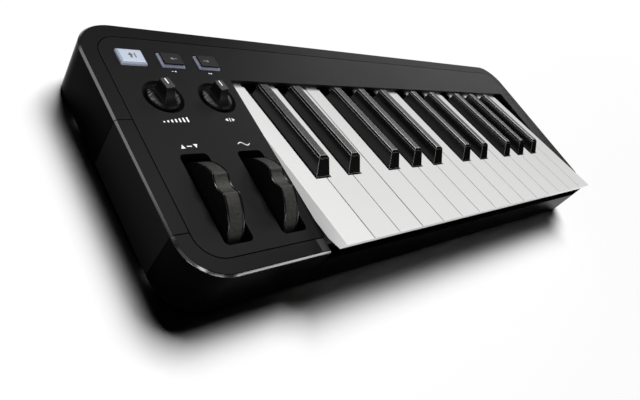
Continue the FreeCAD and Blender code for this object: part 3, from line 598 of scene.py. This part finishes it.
stage = {"floor": 4.0, "floorColor": (0.9, 0.9, 0.9), "drop": 0.2 * mm}
floorMesh = bmesh.new()
bmesh.ops.create_grid(floorMesh, x_segments=1, y_segments=1, size=stage["floor"])
floorData = bpy.data.meshes.new("floor")
floorMesh.to_mesh(floorData)
floorMesh.free()
floorFinish = Finish("floorPale", color=stage["floorColor"], roughness=0.6, specular=0.2)
floorData.materials.append(floorFinish.material)
floor = bpy.data.objects.new("floor", floorData)
floor.location.z = -stage["drop"]
bpy.context.scene.collection.objects.link(floor)

world = bpy.data.worlds.new("studio")
world.use_nodes = True
world.node_tree.nodes["Background"].inputs["Color"].default_value = (1, 1, 1, 1)
world.node_tree.nodes["Background"].inputs["Strength"].default_value = 1.0
for ray in ("diffuse", "glossy", "transmission", "scatter"):
    setattr(world.cycles_visibility, ray, False)  # a white surround that lights nothing
bpy.context.scene.world = world
bpy.context.scene.view_settings.view_transform = "Standard"


def lampGroups(item):
    # the white keys and the floor are out of reach of the lamps that put highlights on the
    # dark parts, the white keys have lamps of their own, and the first has one for its side
    if item.name.startswith("white_key"):
        return ["white", "side"] if item.name.startswith("white_key_01") else ["white"]
    if item == floor:
        return ["most"]
    return ["most", "dark", "black"] if item.name.startswith("black_key") else ["most", "dark"]


lit = {name: bpy.data.collections.new(name) for name in ("most", "dark", "white", "black", "side")}
for item in bpy.context.scene.objects:
    if item.type == "MESH":
        for group in lampGroups(item):
            lit[group].objects.link(item)


def softbox(name, towards, distance, size, radiance, aim=(0, 0, 0.02), onto="dark"):
    # radiance is what a mirror would show, so the power follows the size of the box
    light = bpy.data.lights.new(name, "AREA")
    light.shape = "RECTANGLE"
    light.size, light.size_y = size
    light.energy = radiance * math.pi * size[0] * size[1]
    lamp = bpy.data.objects.new(name, light)
    lamp.location = Vector(aim) + Vector(towards).normalized() * distance
    lamp.rotation_euler = (Vector(aim) - lamp.location).to_track_quat("-Z", "Y").to_euler()
    bpy.context.scene.collection.objects.link(lamp)
    lamp.light_linking.receiver_collection = lit[onto]
    if onto == "side":
        lamp.light_linking.blocker_collection = lit["white"]  # the wheels throw no shadow on it


lamps = {
    "key": {"towards": (0.38, 0.44, 0.95), "distance": 25.0, "size": (11.0, 11.0),
            "radiance": 22.5, "onto": "most"},
    "overhead": {"towards": (-0.1, -0.42, 1.0), "distance": 3.0, "size": (2.0, 2.0),
                 "radiance": 10.3, "onto": "white"},
    "lips": {"towards": (0.1, -1.0, 0.3), "distance": 1.5, "size": (0.8, 0.4), "radiance": 7.5,
             "onto": "white"},
    "lineUp": {"towards": (0.09, 0.36, 0.91), "distance": 1.5, "size": (0.5, 0.5), "radiance": 6.0,
               "onto": "black"},
    "lineSide": {"towards": (-0.91, 0.36, 0.12), "distance": 1.5, "size": (0.7, 0.2),
                 "radiance": 9.0, "onto": "black"},
    "edge": {"towards": (-0.67, 0.58, 0.46), "distance": 1.5, "size": (0.75, 0.55),
             "radiance": 2.2},
    "low": {"towards": (-0.83, -0.42, 0.24), "distance": 1.2, "size": (0.3, 0.35),
            "radiance": 12.0, "aim": (-0.199, -0.06, 0.03)},
    "front": {"towards": (0.65, -0.70, 0.30), "distance": 1.5, "size": (0.7, 0.16),
              "radiance": 9.0, "aim": (-0.1, -0.083, 0.035)},
    "wrap": {"towards": (-0.85, -0.35, 0.75), "distance": 2.4, "size": (2.4, 2.4),
             "radiance": 0.6},
    "keySide": {"towards": (-1.0, -0.1, 0.16), "distance": 1.0, "size": (0.8, 0.4),
                "radiance": 6.2, "aim": (-0.144, -0.02, 0.04), "onto": "side"},
    "corner": {"towards": (-0.45, -0.63, 0.63), "distance": 1.5, "size": (0.35, 0.35),
               "radiance": 10.0, "aim": (-0.226, -0.076, 0.035)},
    "far": {"towards": (0.82, 0.42, 0.42), "distance": 2.5, "size": (1.4, 0.7), "radiance": 6.0,
            "aim": (-0.1, 0.0, 0.036)},
    "fill": {"towards": (-0.2, -1.0, 0.35), "distance": 2.0, "size": (0.8, 0.8), "radiance": 6.0},
}
for name, settings in lamps.items():
    softbox(name, **settings)

view = {
    "lens": 32.207, "sensor": 36.0, "at": (-0.365901, -0.167605, 0.234131),
    "right": (0.694592, -0.490996, 0.525799), "up": (0.107991, 0.793763, 0.598564),
    "back": (-0.711252, -0.358976, 0.604365), "near": 0.01,
}
camera = bpy.data.cameras.new("camera")
camera.lens = view["lens"]
camera.sensor_width = view["sensor"]
camera.clip_start = view["near"]
cameraObject = bpy.data.objects.new("camera", camera)
axes = Matrix((view["right"], view["up"], view["back"])).transposed().to_4x4()
cameraObject.matrix_world = Matrix.Translation(view["at"]) @ axes
bpy.context.scene.collection.objects.link(cameraObject)
bpy.context.scene.camera = cameraObject
print("stage done")
